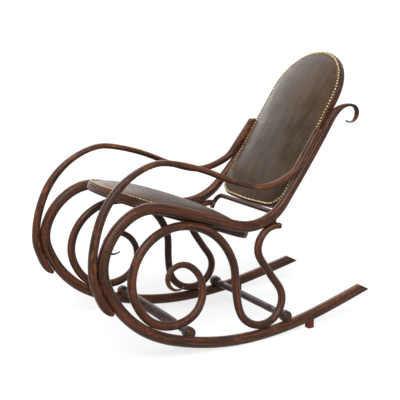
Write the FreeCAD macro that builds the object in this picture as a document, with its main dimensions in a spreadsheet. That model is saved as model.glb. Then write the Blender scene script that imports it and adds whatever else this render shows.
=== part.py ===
import FreeCAD, Part
import math
import os

# Bentwood rocking chair, millimetres.  The front faces -Y, +Z is up and the sitter's left is +X.
# The origin lies on the floor under the middle of the outer box.

doc = FreeCAD.newDocument("rocking_chair")
sheet = doc.addObject("Spreadsheet::Sheet", "Sizes")

values = {
    # where the side frames stand: half the distance between them, their toe-in to the rear
    # and their lean towards each other, and the height at which the distance is taken
    "frame_half_width": 211.0,
    "frame_toe_in": 2.4,
    "frame_lean": 3.63,
    "frame_width_height": 409.0,
    "origin_back": -29.0,
    # the bent rods
    "side_rod": 35.0,
    "post_depth": 27.0,
    "post_width": 22.0,
    "scroll_thickness": 8.0,
    "post_flare": 9.0,
    "loop_rod": 27.0,
    "loop_tip": 5.0,
    "arm_front": 26.0,
    "arm_top": 18.5,
    "arm_width": 26.0,
    "joint_gap": 0.3,
    "runner_end_back": 531.5,
    "runner_end_height": 86.0,
    "runner_end_slant": 62.0,
    "arm_end_cut": 8.2,
    # seat ring, in its own tilted plane
    "seat_front_back": -384.0,
    "seat_front_height": 472.4,
    "seat_pitch": 20.15,
    "seat_length": 512.0,
    "seat_ring_width": 38.0,
    "seat_ring_height": 27.0,
    "seat_crown": 36.0,
    # back hoop, in its own tilted plane
    "back_foot_back": 178.3,
    "back_foot_height": 385.0,
    "back_rake": 32.15,
    "back_length": 587.0,
    "back_hoop_width": 32.0,
    "back_hoop_depth": 26.0,
    "back_crown": 27.0,
    "hoop_front_rounding": 4.0,
    "hoop_rear_rounding": 9.0,
    "frame_fit": 0.3,
    # leather, cloth, webbing and brass nails
    "leather": 2.2,
    "webbing_width": 50.0,
    "webbing_thickness": 1.2,
    "cloth": 0.8,
    "nail_head": 8.2,
    "nail_dome": 2.5,
    "nail_shank": 1.8,
    "nail_length": 11.0,
    "nail_pitch": 10.8,
    "nail_inset": 7.0,
    # stretchers, lower bow, stops
    "stretcher_knob": 38.0,
    "front_stretcher_height": 33.0,
    "front_stretcher_depth": 22.0,
    "front_stretcher_tilt": 25.0,
    "front_stretcher_back": -176.0,
    "rear_stretcher_rod": 25.0,
    "rear_stretcher_back": 195.0,
    "stretcher_rise": 32.0,
    "stretcher_overhang": 12.0,
    "bow_rod": 16.0,
    "bow_foot_back": 157.0,
    "bow_foot_height": 330.0,
    "bow_tilt": 24.0,
    "bow_drop": 54.0,
    "bow_corner": 38.0,
    "stop_length": 24.0,
    "stop_width": 22.0,
    "stop_back": 294.0,
    "stop_floor_gap": 1.5,
    # wood screws
    "screw_head": 8.5,
    "screw_shank": 4.2,
    "screw_play": 0.1,
}

# each bend is a length of rod and the angle turned over it, seen from the chair's left
sideStart = (560.8, 92.4, -164.5)
sideBends = [(241, -2.5), (255, -11.5), (315, -20.5), (70, -9.5), (235, -42.5), (70, -33.5), (165, -51.5),
             (70, -32.5), (95, -10.5), (200, 1.0), (210, 67.0), (325, 8.5), (100, -71.0), (99, -201.9)]
loopStart = (-188.0, 204.6, -143.7)
loopBends = [(112, -181.3), (65, -66.0), (190, -117.5), (200, -90.5), (110, -40.0), (205, -75.0),
             (225, -62.0), (100, -35.0), (105, 14.5), (150, 95.0), (145, 108.0), (115, -3.0), (167, -138.0)]
armStart = (-436.0, 158.5, 128.6)
armBends = [(189, -48.1), (95, -12.5), (230, -52.0), (65, -26.0), (190, -15.0), (115, 9.5), (210, 61.0),
            (145, 21.2)]

for rod, start, bends in (("side", sideStart, sideBends), ("loop", loopStart, loopBends),
                          ("arm", armStart, armBends)):
    values[rod + "_start_back"], values[rod + "_start_height"], values[rod + "_start_heading"] = start
    for place, (run, turn) in enumerate(bends, 1):
        values["%s_run_%d" % (rod, place)] = run
        values["%s_turn_%d" % (rod, place)] = turn

for row, (name, value) in enumerate(values.items(), 1):
    sheet.set("A%d" % row, name)
    sheet.set("B%d" % row, str(value))
    sheet.setAlias("B%d" % row, name)
doc.recompute()


def size(name):
    return float(sheet.get(name))


pieces = {}


def keep(thing, name):
    thing.Label = name
    pieces[name] = thing
    return thing


def feature(name, shape, placement=None):
    thing = doc.addObject("Part::Feature", name)
    thing.Shape = shape
    if placement is not None:
        thing.Placement = placement.multiply(shape.Placement)
    return keep(thing, name)


def mirrored(source, name):
    thing = doc.addObject("Part::Mirroring", name)
    thing.Source = source
    thing.Normal = FreeCAD.Vector(1, 0, 0)
    return keep(thing, name)


# paths of the bent rods, in the side frame's own plane (back, height above the runner's centre)

def bentPath(rod, count, step=4.0):
    back, height = size(rod + "_start_back"), size(rod + "_start_height")
    heading = math.radians(size(rod + "_start_heading"))
    path = [(back, height)]
    for place in range(1, count + 1):
        run = size("%s_run_%d" % (rod, place))
        turn = math.radians(size("%s_turn_%d" % (rod, place)))
        cuts = max(2, int(math.ceil(run / step)))
        for cut in range(cuts):
            middle = heading + turn * (cut + 0.5) / cuts
            chord = run / cuts
            if abs(turn) > 1e-9:
                chord = 2 * abs(run / turn) * math.sin(abs(turn) / cuts / 2)
            back += chord * math.cos(middle)
            height += chord * math.sin(middle)
            path.append((back, height))
        heading += turn
    return path


def lengths(path):
    total = [0.0]
    for (a, b), (c, d) in zip(path, path[1:]):
        total.append(total[-1] + math.hypot(c - a, d - b))
    return total


def nearest(point, path):
    best = None
    for place in range(len(path) - 1):
        (a, b), (c, d) = path[place], path[place + 1]
        along = ((point[0] - a) * (c - a) + (point[1] - b) * (d - b)) / ((c - a) ** 2 + (d - b) ** 2)
        along = min(1.0, max(0.0, along))
        foot = (a + along * (c - a), b + along * (d - b))
        gap = math.hypot(point[0] - foot[0], point[1] - foot[1])
        if best is None or gap < best[0]:
            best = (gap, foot, place + along)
    return best


def graded(table, along):
    if along <= table[0][0]:
        return table[0][1:]
    for low, high in zip(table, table[1:]):
        if along <= high[0]:
            part = (along - low[0]) / (high[0] - low[0])
            part = part * part * (3 - 2 * part)
            return tuple(p + (q - p) * part for p, q in zip(low[1:], high[1:]))
    return table[-1][1:]


def pressed(path, other, table, otherTable, first, last, blend):
    """The rod is sprung against another one between two lengths, and eased off either side."""
    along = lengths(path)
    otherAlong = lengths(other)
    moved = []
    for point, here in zip(path, along):
        outside = max(first - here, here - last, 0.0)
        weight = 0.0 if outside >= blend else 0.5 + 0.5 * math.cos(math.pi * outside / blend)
        if weight > 0:
            gap, foot, place = nearest(point, other)
            there = otherAlong[int(place)]
            want = graded(table, here)[0] + graded(otherTable, there)[0] + size("joint_gap")
            push = weight * (want - gap) / gap
            point = (point[0] + push * (point[0] - foot[0]), point[1] + push * (point[1] - foot[1]))
        moved.append(point)
    return moved


def seated(path, other, table, otherTable, touch, reach=60.0, blend=110.0):
    """A stretch of rod moved bodily until it just meets the other one."""
    for tries in range(3):
        along = lengths(path)
        otherAlong = lengths(other)
        closest = None
        for point, here in zip(path, along):
            if abs(here - touch) <= reach:
                gap, foot, place = nearest(point, other)
                there = otherAlong[int(place)]
                want = graded(table, here)[0] + graded(otherTable, there)[0] + size("joint_gap")
                if closest is None or gap - want < closest[0]:
                    closest = (gap - want, (point[0] - foot[0]) / gap, (point[1] - foot[1]) / gap)
        slack, back, height = closest
        moved = []
        for point, here in zip(path, along):
            outside = max(abs(here - touch) - reach, 0.0)
            weight = 0.0 if outside >= blend else 0.5 + 0.5 * math.cos(math.pi * outside / blend)
            moved.append((point[0] - weight * slack * back, point[1] - weight * slack * height))
        path = moved
    return path


# the side frame's plane in space

toe = math.tan(math.radians(size("frame_toe_in")))
lean = math.tan(math.radians(size("frame_lean")))
floorHeight = size("side_rod") / 2 - min(point[1] for point in bentPath("side", len(sideBends)))
shift = size("origin_back")
flareFrom = 400.0
flareTo = 640.0


def frameHalf(back, height):
    return size("frame_half_width") - toe * back - lean * (height - size("frame_width_height"))


def postFlare(back, height):
    if back < 95 or height < flareFrom:
        return 0.0
    return size("post_flare") * ((height - flareFrom) / (flareTo - flareFrom)) ** 2


def armFlare(back, height):
    return size("post_flare") * (max(0.0, back + 50) / 379.0) ** 2


def noFlare(back, height):
    return 0.0


def inSpace(point, flare, inward=0.0):
    back, height = point
    across = frameHalf(back, height) + flare(back, height) - inward
    return FreeCAD.Vector(across, back + shift, height + floorHeight)


def worldPoint(across, back, height):
    return FreeCAD.Vector(across, back + shift, height + floorHeight)


framePlane = FreeCAD.Vector(1, toe, lean).normalize()


def quarters(centre, first, second, halfFirst, halfSecond, fullness):
    """Control points of the four curved quarters of a rounded section."""
    found = []
    for turn in range(4):
        one, two = (first, second) if turn % 2 == 0 else (second, first)
        halfOne, halfTwo = (halfFirst, halfSecond) if turn % 2 == 0 else (halfSecond, halfFirst)
        one = one * (halfOne if turn in (0, 1) else -halfOne)
        two = two * (halfTwo if turn in (0, 3) else -halfTwo)
        found.append([centre + one, centre + one + two * fullness, centre + one * fullness + two,
                      centre + two])
    return found


def skinned(sections, along, pieceStations=12):
    """A solid whose quarter faces run smoothly through all the sections."""
    parts = [quarters(*section) for section in sections]
    faces = []
    for quarter in range(4):
        tracks = []
        for pole in range(4):
            curve = Part.BSplineCurve()
            curve.interpolate(Points=[part[quarter][pole] for part in parts], Parameters=along)
            tracks.append(curve)
        surface = Part.BSplineSurface()
        surface.buildFromPolesMultsKnots([track.getPoles() for track in tracks], [4, 4],
                                         tracks[0].getMultiplicities(), [0, 1], tracks[0].getKnots(),
                                         False, False, 3, tracks[0].Degree)
        marks = list(range(0, len(along) - 1, pieceStations))
        if len(marks) > 1 and len(along) - 1 - marks[-1] < pieceStations / 2:
            marks.pop()
        marks.append(len(along) - 1)
        for low, high in zip(marks, marks[1:]):
            piece = surface.copy()
            piece.segment(0, 1, along[low], along[high])
            faces.append(piece.toShape())
    for part in (parts[0], parts[-1]):
        edges = []
        for poles in part:
            edge = Part.BezierCurve()
            edge.setPoles(poles)
            edges.append(edge.toShape())
        faces.append(Part.Face(Part.Wire(Part.__sortEdges__(edges))))
    shell = Part.makeShell(faces)
    shell.sewShape()
    solid = Part.makeSolid(shell)
    if solid.Volume < 0:
        solid.reverse()
    return solid


def bentRod(path, flare, table, longest=42.0, widest=16.0, shortest=9.0, marks=()):
    """A rod through rounded sections set square to its centreline, also at the marked lengths."""
    along = lengths(path)
    spots = [inSpace(point, flare) for point in path]
    tangents = []
    for place in range(len(spots)):
        low, high = max(0, place - 2), min(len(spots) - 1, place + 2)
        tangents.append((spots[high] - spots[low]).normalize())
    stations = [0]
    for place in range(1, len(spots) - 1):
        turned = math.degrees(tangents[place].getAngle(tangents[stations[-1]]))
        far = along[place] - along[stations[-1]]
        marked = any(along[place - 1] < mark <= along[place] for mark in marks)
        if (far >= longest or turned >= widest or marked) and far > shortest < along[-1] - along[place]:
            stations.append(place)
    stations.append(len(spots) - 1)
    sections = []
    for station in stations:
        forward = tangents[station]
        inPlane = framePlane.cross(forward).normalize()
        across = forward.cross(inPlane).normalize()
        halfDeep, halfWide, fullness = graded(table, along[station])
        sections.append((spots[station], inPlane, across, halfDeep, halfWide, fullness))
    return skinned(sections, [along[station] for station in stations])


def turnedProfile(outline):
    """A solid turned about Z from (radius, height) points."""
    points = [FreeCAD.Vector(radius, 0, height) for radius, height in outline]
    face = Part.Face(Part.makePolygon(points + [points[0]]))
    return face.revolve(FreeCAD.Vector(0, 0, 0), FreeCAD.Vector(0, 0, 1), 360)


def screw(length):
    """Slotted countersunk wood screw, its head's top at 0 and its point at +Z."""
    head, shank = size("screw_head") / 2, size("screw_shank") / 2
    body = turnedProfile([(0, 0), (head, 0), (head, 0.4), (shank, 3.0), (shank, length - 5), (0.3, length),
                          (0, length)])
    slot = Part.makeBox(2 * head + 2, 0.9, 1.2, FreeCAD.Vector(-head - 1, -0.45, -0.2))
    return body.cut(slot)


def screwBore(length, reach=14.0):
    head = size("screw_head") / 2 + size("screw_play")
    shank = size("screw_shank") / 2 + size("screw_play")
    return turnedProfile([(0, -reach), (head, -reach), (head, 0.45), (shank, 3.05), (shank, length + 0.5),
                          (0, length + 0.5)])


def aimed(shape, spot, direction):
    placed = shape.copy()
    turn = FreeCAD.Rotation(FreeCAD.Vector(0, 0, 1), direction)
    placed.Placement = FreeCAD.Placement(spot, turn)
    return placed


def screwsAt(places, length):
    """Screws and their bores for (head spot, direction) pairs."""
    screws = [aimed(screw(length), spot, direction) for spot, direction in places]
    bores = [aimed(screwBore(length), spot, direction) for spot, direction in places]
    return screws, bores


# the three bent rods of a side frame

sideRadius = size("side_rod") / 2
postDeep, postWide = size("post_depth") / 2, size("post_width") / 2
ribbon = size("scroll_thickness") / 2
plain = 0.5523
sideTable = [(0, sideRadius - 1, sideRadius - 1, 0.78), (240, sideRadius, sideRadius, 0.68),
             (500, sideRadius, sideRadius, plain), (1860, sideRadius, sideRadius, plain),
             (1990, postDeep + 1, postWide + 1.5, 0.6), (2110, postDeep, postWide, 0.64),
             (2265, postDeep - 1, postWide, 0.64), (2335, ribbon + 1, postWide - 0.5, 0.66),
             (2395, ribbon, postWide - 1, 0.66), (2450, ribbon * 0.5, postWide * 0.6, 0.6)]
loopRadius = size("loop_rod") / 2
tipRadius = size("loop_tip") / 2
loopTable = [(0, tipRadius, tipRadius, plain), (97, 0.62 * loopRadius, 0.62 * loopRadius, plain),
             (207, 0.8 * loopRadius, 0.8 * loopRadius, plain), (407, loopRadius, loopRadius, plain),
             (1007, loopRadius, loopRadius, plain), (1257, 0.95 * loopRadius, 0.95 * loopRadius, plain),
             (1767, 0.92 * loopRadius, 0.92 * loopRadius, plain),
             (1845, 0.8 * loopRadius, 0.92 * loopRadius, 0.62),
             (1892, 0.6 * loopRadius, 0.86 * loopRadius, 0.62)]
armWide = size("arm_width") / 2
armFront, armTop = size("arm_front") / 2, size("arm_top") / 2
armTable = [(0, 0.45 * armFront, 0.78 * armWide, 0.7), (13, 0.8 * armFront, 0.95 * armWide, 0.68),
            (30, 0.96 * armFront, 1.03 * armWide, 0.68), (184, armFront, armWide, 0.62),
            (324, armFront, armWide, 0.58), (494, armTop, armWide, 0.6), (874, armTop, armWide, 0.6),
            (1034, 0.9 * armFront, armWide, 0.62), (1144, armFront, armWide, 0.7),
            (1244, 0.96 * armFront, 0.98 * armWide, 0.75)]

sidePath = bentPath("side", len(sideBends))
loopPath = bentPath("loop", len(loopBends))
armPath = bentPath("arm", len(armBends))
loopTouches = (507.0, 972.0, 1438.0)
for touch in loopTouches:
    loopPath = seated(loopPath, sidePath, loopTable, sideTable, touch)
loopPath = seated(loopPath, sidePath, loopTable, sideTable, 1847.0, 45.0)
armPath = pressed(armPath, sidePath, armTable, sideTable, 0.0, 129.0, 90.0)
armPath = pressed(armPath, sidePath, armTable, sideTable, 1109.0, 1244.0, 90.0)

sideRod = bentRod(sidePath, postFlare, sideTable)

# the rear end of the runner is sawn off at a slant
sawn = Part.makeBox(120, 90, 160, FreeCAD.Vector(-60, 0, -80))
sawn.rotate(FreeCAD.Vector(0, 0, 0), FreeCAD.Vector(1, 0, 0), size("runner_end_slant"))
sawn.translate(inSpace((size("runner_end_back"), size("runner_end_height")), noFlare))
sideRod = sideRod.cut(sawn)
loopRod = bentRod(loopPath, noFlare, loopTable)
armRod = bentRod(armPath, armFlare, armTable, marks=(13.0, 30.0))

# the upper end of the arm is sawn off level
level = Part.makeBox(160, 160, 60, FreeCAD.Vector(-80, -80, 0))
level.translate(inSpace((armPath[-1][0], armPath[-1][1] - size("arm_end_cut")), armFlare))
armRod = armRod.cut(level)


def jointScrews(path, table, along, length, flare, recess=0.9):
    """A screw through one rod into the side rod, its head sunk on the far side."""
    run = lengths(path)
    place = min(range(len(run)), key=lambda n: abs(run[n] - along))
    gap, foot, there = nearest(path[place], sidePath)
    towards = (inSpace(foot, postFlare) - inSpace(path[place], flare)).normalize()
    deep = graded(table, run[place])[0]
    return inSpace(path[place], flare) - towards * (deep - recess), towards


loopLength = 2 * loopRadius + 0.75 * sideRadius
loopPlaces = [jointScrews(loopPath, loopTable, touch, loopLength, noFlare) for touch in loopTouches]
loopScrews, loopBores = screwsAt(loopPlaces, loopLength)
endLength = 1.3 * loopRadius + 0.8 * sideRadius
endPlaces = [jointScrews(loopPath, loopTable, 1828.0, endLength, noFlare)]
endScrews, endBores = screwsAt(endPlaces, endLength)

# the arm's screws come through the side rod from behind, so that no head shows in front
armScrews, armBores = [], []
for along in (60.0, 120.0, 1164.0, 1209.0):
    run = lengths(armPath)
    place = min(range(len(run)), key=lambda n: abs(run[n] - along))
    gap, foot, there = nearest(armPath[place], sidePath)
    centre = inSpace(foot, postFlare)
    outwards = (inSpace(armPath[place], armFlare) - centre).normalize()
    rodDeep = graded(sideTable, lengths(sidePath)[int(there)])[0]
    length = 2 * rodDeep - 0.9 + 1.3 * graded(armTable, along)[0]
    found, bored = screwsAt([(centre - outwards * (rodDeep - 0.9), outwards)], length)
    armScrews += found
    armBores += bored

# outlines with rounded corners

def outline(corners):
    """A closed wire through (x, y, radius) corners, in lines and arcs."""
    edges = []
    ends = []
    count = len(corners)
    spots = [FreeCAD.Vector(corner[0], corner[1], 0) for corner in corners]
    turns = []
    for place in range(count):
        back = (spots[place - 1] - spots[place]).normalize()
        ahead = (spots[(place + 1) % count] - spots[place]).normalize()
        half = back.getAngle(ahead) / 2
        turns.append((back, ahead, half, corners[place][2] / math.tan(half)))
    # two roundings share the straight between them, so neither is larger than it has room for
    room = []
    for place in range(count):
        straight = (spots[place] - spots[place - 1]).Length
        room.append(min(1.0, 0.999 * straight / (turns[place][3] + turns[place - 1][3])))
    for place in range(count):
        back, ahead, half, cut = turns[place]
        fit = min(room[place], room[(place + 1) % count])
        radius = corners[place][2] * fit
        split = (back + ahead).normalize()
        deepest = spots[place] + split * (radius / math.sin(half) - radius)
        ends.append((spots[place] + back * cut * fit, deepest, spots[place] + ahead * cut * fit))
    for place in range(count):
        start, deepest, stop = ends[place]
        edges.append(Part.Arc(start, deepest, stop).toShape())
        following = ends[(place + 1) % count][0]
        if (following - stop).Length > 0.01:
            edges.append(Part.makeLine(stop, following))
    return Part.Wire(Part.__sortEdges__(edges))


def shrunk(corners, across, lengthwise, middle):
    round_ = 0.5 * (across + lengthwise)
    return [(x * across, middle + (y - middle) * lengthwise, radius * round_) for x, y, radius in corners]


def plate(wire, low, high, hole=None):
    face = Part.Face(wire)
    if hole is not None:
        face = face.cut(Part.Face(hole))
    solid = face.extrude(FreeCAD.Vector(0, 0, high - low))
    solid.translate(FreeCAD.Vector(0, 0, low))
    return solid


def dome(corners, middle, half, low, edge, crown, inset, smallest=0.06, levels=9):
    """A crowned pad: shrinking outlines that rise towards the middle."""
    across = 1 - inset / max(corner[0] for corner in corners)
    lengthwise = 1 - inset / half
    wires = []
    for level in range(levels):
        part = 1 + (smallest - 1) * level / (levels - 1.0)
        spread = min(1.0, abs(part - smallest) / (1 - smallest))
        rise = edge + crown * (1 - spread ** 2.6) ** 0.8
        wire = outline(shrunk(corners, across * part, lengthwise * part, middle))
        wire.translate(FreeCAD.Vector(0, 0, rise))
        wires.append(wire)
    upper = Part.makeLoft(wires, True, False)
    base = plate(outline(shrunk(corners, across, lengthwise, middle)), low, edge)
    return base.fuse(upper).removeSplitter()


def nail():
    """Domed upholstery nail, the underside of its head at 0 and its shank towards -Z."""
    radius, high = size("nail_head") / 2, size("nail_dome")
    shank, length = size("nail_shank") / 2, size("nail_length")
    ball = (radius ** 2 + high ** 2) / (2 * high)
    half = math.asin(radius / ball) / 2
    rim = FreeCAD.Vector(radius, 0, 0)
    top = FreeCAD.Vector(0, 0, high)
    bulge = FreeCAD.Vector(ball * math.sin(half), 0, high - ball + ball * math.cos(half))
    path = [Part.makeLine(FreeCAD.Vector(0, 0, -length), FreeCAD.Vector(shank * 0.3, 0, -length)),
            Part.makeLine(FreeCAD.Vector(shank * 0.3, 0, -length), FreeCAD.Vector(shank, 0, -length + 2.5)),
            Part.makeLine(FreeCAD.Vector(shank, 0, -length + 2.5), FreeCAD.Vector(shank, 0, 0)),
            Part.makeLine(FreeCAD.Vector(shank, 0, 0), rim),
            Part.Arc(rim, bulge, top).toShape(),
            Part.makeLine(top, FreeCAD.Vector(0, 0, -length))]
    face = Part.Face(Part.Wire(path))
    return face.revolve(FreeCAD.Vector(0, 0, 0), FreeCAD.Vector(0, 0, 1), 360)


def nailSpots(corners, height):
    wire = outline(corners).makeOffset2D(-size("nail_inset"))
    count = int(round(wire.Length / size("nail_pitch")))
    spots = wire.discretize(Number=count + 1)[:count]
    return [FreeCAD.Vector(spot.x, spot.y, height) for spot in spots]


def nailsAt(spots):
    one = nail()
    made = []
    for spot in spots:
        copy = one.copy()
        copy.translate(spot)
        made.append(copy)
    return Part.makeCompound(made)


def circleSketch(body, name, spots, diameter, height):
    sketch = body.newObject("Sketcher::SketchObject", name)
    plane = [part for part in body.Origin.OriginFeatures if part.Role == "XY_Plane"][0]
    sketch.AttachmentSupport = (plane, [""])
    sketch.MapMode = "FlatFace"
    sketch.AttachmentOffset = FreeCAD.Placement(FreeCAD.Vector(0, 0, height), FreeCAD.Rotation())
    for spot in spots:
        middle = FreeCAD.Vector(spot.x, spot.y, 0)
        sketch.addGeometry(Part.Circle(middle, FreeCAD.Vector(0, 0, 1), diameter / 2))
    return sketch


def wireSketch(body, name, wires):
    sketch = body.newObject("Sketcher::SketchObject", name)
    plane = [part for part in body.Origin.OriginFeatures if part.Role == "XY_Plane"][0]
    sketch.AttachmentSupport = (plane, [""])
    sketch.MapMode = "FlatFace"
    for wire in wires:
        for edge in wire.Edges:
            start, stop = edge.valueAt(edge.FirstParameter), edge.valueAt(edge.LastParameter)
            if edge.Curve.TypeId == "Part::GeomLine":
                sketch.addGeometry(Part.LineSegment(start, stop))
            else:
                middle = edge.valueAt((edge.FirstParameter + edge.LastParameter) / 2)
                sketch.addGeometry(Part.Arc(start, middle, stop))
    return sketch


def hoopBody(name, corners, width, height, downwards, spots, top, placement):
    """A flat bent hoop: padded outline, nail holes and rounded edges."""
    body = doc.addObject("PartDesign::Body", name + "_hoop")
    outer = outline(corners)
    sketch = wireSketch(body, name + "_outline", [outer, outer.makeOffset2D(-size(width))])
    pad = body.newObject("PartDesign::Pad", name + "_pad")
    pad.Profile = sketch
    pad.setExpression("Length", "Sizes." + height)
    pad.Reversed = downwards
    doc.recompute()
    base = pad
    for word, faceHigh in (("front", top), ("rear", top - size(height))):
        rims = []
        for place, edge in enumerate(base.Shape.Edges, 1):
            if max(abs(edge.BoundBox.ZMax - faceHigh), abs(edge.BoundBox.ZMin - faceHigh)) < 1e-6:
                rims.append("Edge%d" % place)
        fillet = body.newObject("PartDesign::Fillet", name + "_" + word + "_rounding")
        fillet.Base = (base, rims)
        fillet.setExpression("Radius", "Sizes.hoop_%s_rounding" % word)
        doc.recompute()
        base = fillet
    holes = circleSketch(body, name + "_nail_marks", spots, size("nail_shank") + 0.2, top)
    pocket = body.newObject("PartDesign::Pocket", name + "_nail_holes")
    pocket.Profile = holes
    pocket.setExpression("Length", "Sizes.nail_length - Sizes.leather + 0.8")
    doc.recompute()
    if pocket.Shape.Volume >= fillet.Shape.Volume:
        pocket.Reversed = True
        doc.recompute()
    body.Tip = pocket
    body.Placement = placement
    doc.recompute()
    return body


def placedBores(bores):
    tool = doc.addObject("Part::Feature", "bores")
    tool.Shape = Part.makeCompound(bores)
    return tool


def bored(name, body, bores):
    thing = doc.addObject("Part::Cut", name)
    thing.Base = body
    thing.Tool = placedBores(bores)
    return keep(thing, name)


# seat: ring, webbing, canvas, stuffing, leather, nails and dust cloth

pitch = math.radians(size("seat_pitch"))
ringHigh = size("seat_ring_height")
seatFrame = FreeCAD.Placement(worldPoint(0, size("seat_front_back"), size("seat_front_height")),
                              FreeCAD.Rotation(FreeCAD.Vector(1, 0, 0), -size("seat_pitch")))


def railInner(along):
    """Half the clear width between the rails beside the ring, at a distance from its front."""
    back = size("seat_front_back") + along * math.cos(pitch)
    height = size("seat_front_height") - along * math.sin(pitch) + ringHigh
    rail = nearest((back, height), sidePath)[1]
    return frameHalf(*rail) - sideRadius * 1.004 - size("frame_fit")


def straightSide(inner, low, high, spots=9):
    """Slope and start of a straight side that stays inside a slightly curved one."""
    slope = (inner(high) - inner(low)) / (high - low)
    samples = [low + (high - low) * place / (spots - 1.0) for place in range(spots)]
    return slope, min(inner(spot) - slope * spot for spot in samples)


seatLong = size("seat_length")
taper, seatSide = straightSide(railInner, 100.0, 360.0)
frontHalf = seatSide + taper * 45
rearHalf = seatSide + taper * (seatLong - 10)
seatCorners = [(0, 0, 300.0), (frontHalf, 45, 165.0), (rearHalf, seatLong - 10, 75.0),
               (0, seatLong, 420.0), (-rearHalf, seatLong - 10, 75.0), (-frontHalf, 45, 165.0)]
seatMiddle = seatLong / 2
seatNails = nailSpots(seatCorners, ringHigh + 0.1 + size("leather"))
seatBody = hoopBody("seat", seatCorners, "seat_ring_width", "seat_ring_height", False, seatNails, ringHigh,
                    seatFrame)

# screws run from inside the ring through it into the rails
seatScrewLength = size("seat_ring_width") + 1.1 * sideRadius
seatScrews, seatBores = [], []
for along in (200.0, 330.0):
    inset = railInner(along) - size("seat_ring_width") + 0.9
    inner = seatFrame.multVec(FreeCAD.Vector(inset, along, ringHigh / 2))
    found, holes = screwsAt([(inner, FreeCAD.Vector(1, 0, 0))], seatScrewLength)
    seatScrews += found
    seatBores += holes


def bothSides(shapes):
    other = [shape.mirror(FreeCAD.Vector(0, 0, 0), FreeCAD.Vector(1, 0, 0)) for shape in shapes]
    return shapes + other


bored("seat_ring", seatBody, bothSides(seatBores))


def webbing(name, corners, middle, length, low, crossings, uprights, inset, placement):
    """Straps in two layers, cut to the outline that holds them."""
    wide, thick = size("webbing_width"), size("webbing_thickness")
    limit = outline(corners).makeOffset2D(-inset)
    straps = []
    for place in range(uprights):
        centre = (place - (uprights - 1) / 2.0) * wide * 1.5
        corner = FreeCAD.Vector(centre - wide / 2, middle - length, low)
        strap = Part.makeBox(wide, 2 * length, thick, corner)
        straps.append(strap.common(plate(limit, low - 1, low + thick + 1)))
    for place in range(crossings):
        centre = middle + (place - (crossings - 1) / 2.0) * wide * 1.6
        strap = Part.makeBox(4 * length, wide, thick,
                             FreeCAD.Vector(-2 * length, centre - wide / 2, low + thick + 0.1))
        straps.append(strap.common(plate(limit, low, low + 3 * thick)))
    return feature(name, Part.makeCompound([strap.Solids[0] for strap in straps]), placement)


def upholstery(name, corners, middle, length, base, crown, crossings, uprights, placement):
    """Webbing, canvas, stuffing and a nailed leather cover over one side of a hoop."""
    leather, thick, cloth = size("leather"), size("webbing_thickness"), size("cloth")
    webbing(name + "_webbing", corners, middle, length, base + 0.1, crossings, uprights, 28.5, placement)
    canvasLow = base + 0.3 + 2 * thick
    canvas = plate(outline(corners).makeOffset2D(-27.5), canvasLow, canvasLow + cloth)
    feature(name + "_canvas", canvas, placement)
    half = length / 2
    filling = canvasLow + cloth + 0.2
    stuffing = dome(corners, middle, half, filling, filling + 1.5, crown - leather - 3.2, 26.0)
    feature(name + "_stuffing", stuffing, placement)
    rim = plate(outline(corners).makeOffset2D(-1.5), base + 0.1, base + 0.1 + leather)
    outer = dome(corners, middle, half, base + 0.1, base + 0.1 + leather, crown, 13.0)
    inner = dome(corners, middle, half, base - 2, base + 3.6, crown - leather - 1.3, 20.0)
    cover = rim.fuse(outer).cut(inner)
    cutters = [Part.makeCylinder(size("nail_shank") / 2 + 0.1, 3 * leather, spot)
               for spot in nailSpots(corners, base + 0.1 - leather)]
    feature(name + "_leather", cover.cut(Part.makeCompound(cutters)), placement)
    feature(name + "_nails", nailsAt(nailSpots(corners, base + 0.15 + leather)), placement)


upholstery("seat", seatCorners, seatMiddle, seatLong, ringHigh, size("seat_crown"), 5, 4, seatFrame)
dust = plate(outline(seatCorners).makeOffset2D(-12.0), -0.1 - size("cloth"), -0.1)
feature("seat_dust_cloth", dust, seatFrame)

# back: hoop between the posts, upholstery in front and a lining behind

rake = math.radians(size("back_rake"))
backFrame = FreeCAD.Placement(worldPoint(0, size("back_foot_back"), size("back_foot_height")),
                              FreeCAD.Rotation(FreeCAD.Vector(1, 0, 0), 90 - size("back_rake")))


def postInner(along):
    """Half the clear width between the posts, at a height along the back."""
    back = size("back_foot_back") + along * math.sin(rake)
    height = size("back_foot_height") + along * math.cos(rake)
    run = nearest((back + 7, height), sidePath)
    halfWide = graded(sideTable, lengths(sidePath)[int(run[2])])[1]
    return frameHalf(*run[1]) + postFlare(*run[1]) - halfWide - size("frame_fit")


backTaper, backSide = straightSide(postInner, 110.0, 380.0)
backLong = size("back_length") + 4
footHalf = backSide + backTaper * 14
headHalf = backSide + backTaper * backLong
backCorners = [(0, 4, 500.0), (footHalf, 12, 72.0), (headHalf, backLong, 0.98 * headHalf),
               (-headHalf, backLong, 0.98 * headHalf), (-footHalf, 12, 72.0)]
backMiddle = 4 + size("back_length") / 2
backNails = nailSpots(backCorners, 0.1 + size("leather"))
backBody = hoopBody("back", backCorners, "back_hoop_width", "back_hoop_depth", True, backNails, 0.0,
                    backFrame)
backScrewLength = size("back_hoop_width") + 1.2 * postWide
backScrews, backBores = [], []
for along in (255.0, 345.0):
    edge = postInner(along) + size("frame_fit")
    inner = FreeCAD.Vector(edge - size("back_hoop_width") + 0.9, along, -size("back_hoop_depth") / 2)
    found, holes = screwsAt([(backFrame.multVec(inner), FreeCAD.Vector(1, 0, 0))], backScrewLength)
    backScrews += found
    backBores += holes
bored("back_hoop", backBody, bothSides(backBores))
upholstery("back", backCorners, backMiddle, size("back_length"), 0.0, size("back_crown"), 5, 3, backFrame)
liningLow = -size("back_hoop_depth") - 0.1 - size("leather")
lining = plate(outline(backCorners).makeOffset2D(-11.0), liningLow, liningLow + size("leather"))
feature("back_lining", lining, backFrame)

# lower bow across the foot of the back, its ends against the insides of the loops' tails

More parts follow.
